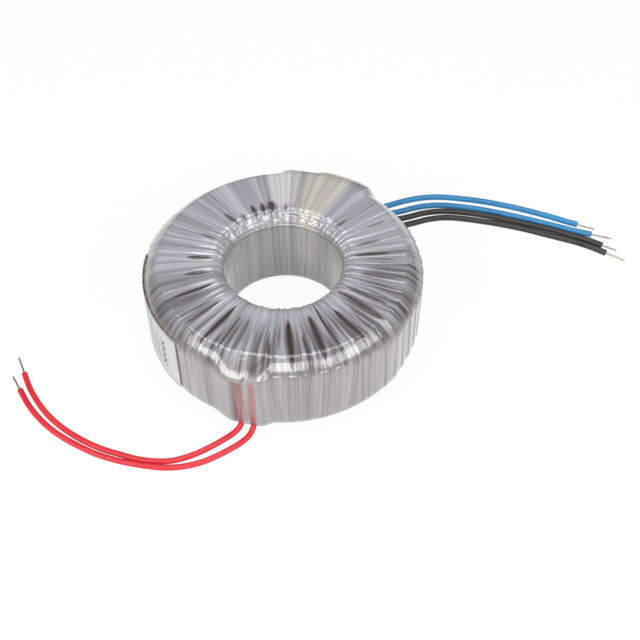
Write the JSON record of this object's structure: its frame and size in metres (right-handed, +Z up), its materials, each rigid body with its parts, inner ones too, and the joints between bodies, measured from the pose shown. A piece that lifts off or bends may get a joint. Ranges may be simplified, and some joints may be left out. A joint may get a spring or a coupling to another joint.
{
  "type": "toroidal transformer",
  "caption": "Ring-shaped mains transformer wrapped in clear film, with red primary leads and blue and black secondary leads lying flat.",
  "frame": {"origin": "centre of the hole, on the surface that the transformer lies on", "axes": "+Z up along the hole's axis; -Y towards the side where the red primary leads come out; the blue and black secondary leads run towards +X"},
  "size_m": [0.2337, 0.1299, 0.0339],
  "materials": {
    "core_steel": "satin",
    "inner_film": "satin",
    "primary_wire": "glossy",
    "secondary_wire": "glossy",
    "wrap_film": "glossy",
    "label_paper": "satin",
    "grey_pad": "matte",
    "cream_pad": "matte",
    "solder": "satin",
    "red_insulation": "satin",
    "blue_insulation": "satin",
    "black_insulation": "satin",
    "tinned_copper": "satin"
  },
  "bodies": {
    "root": {"core": "core_steel", "core_wrap": "inner_film", "primary_winding": "primary_wire", "winding_wrap": "inner_film", "secondary_winding_1": "secondary_wire", "secondary_winding_2": "secondary_wire", "outer_wrap": "wrap_film", "label": "label_paper", "primary_joint_pad": "grey_pad", "secondary_joint_pad": "cream_pad", "primary_splice_1": "solder", "primary_splice_2": "solder", "secondary_splice_1": "solder", "secondary_splice_2": "solder", "secondary_splice_3": "solder", "secondary_splice_4": "solder", "red_lead_1": "red_insulation", "red_lead_2": "red_insulation", "blue_lead_1": "blue_insulation", "blue_lead_2": "blue_insulation", "black_lead_1": "black_insulation", "black_lead_2": "black_insulation", "red_end_1": "tinned_copper", "red_end_2": "tinned_copper", "blue_end_1": "tinned_copper", "blue_end_2": "tinned_copper", "black_end_1": "tinned_copper", "black_end_2": "tinned_copper"}
  },
  "joints": []
}
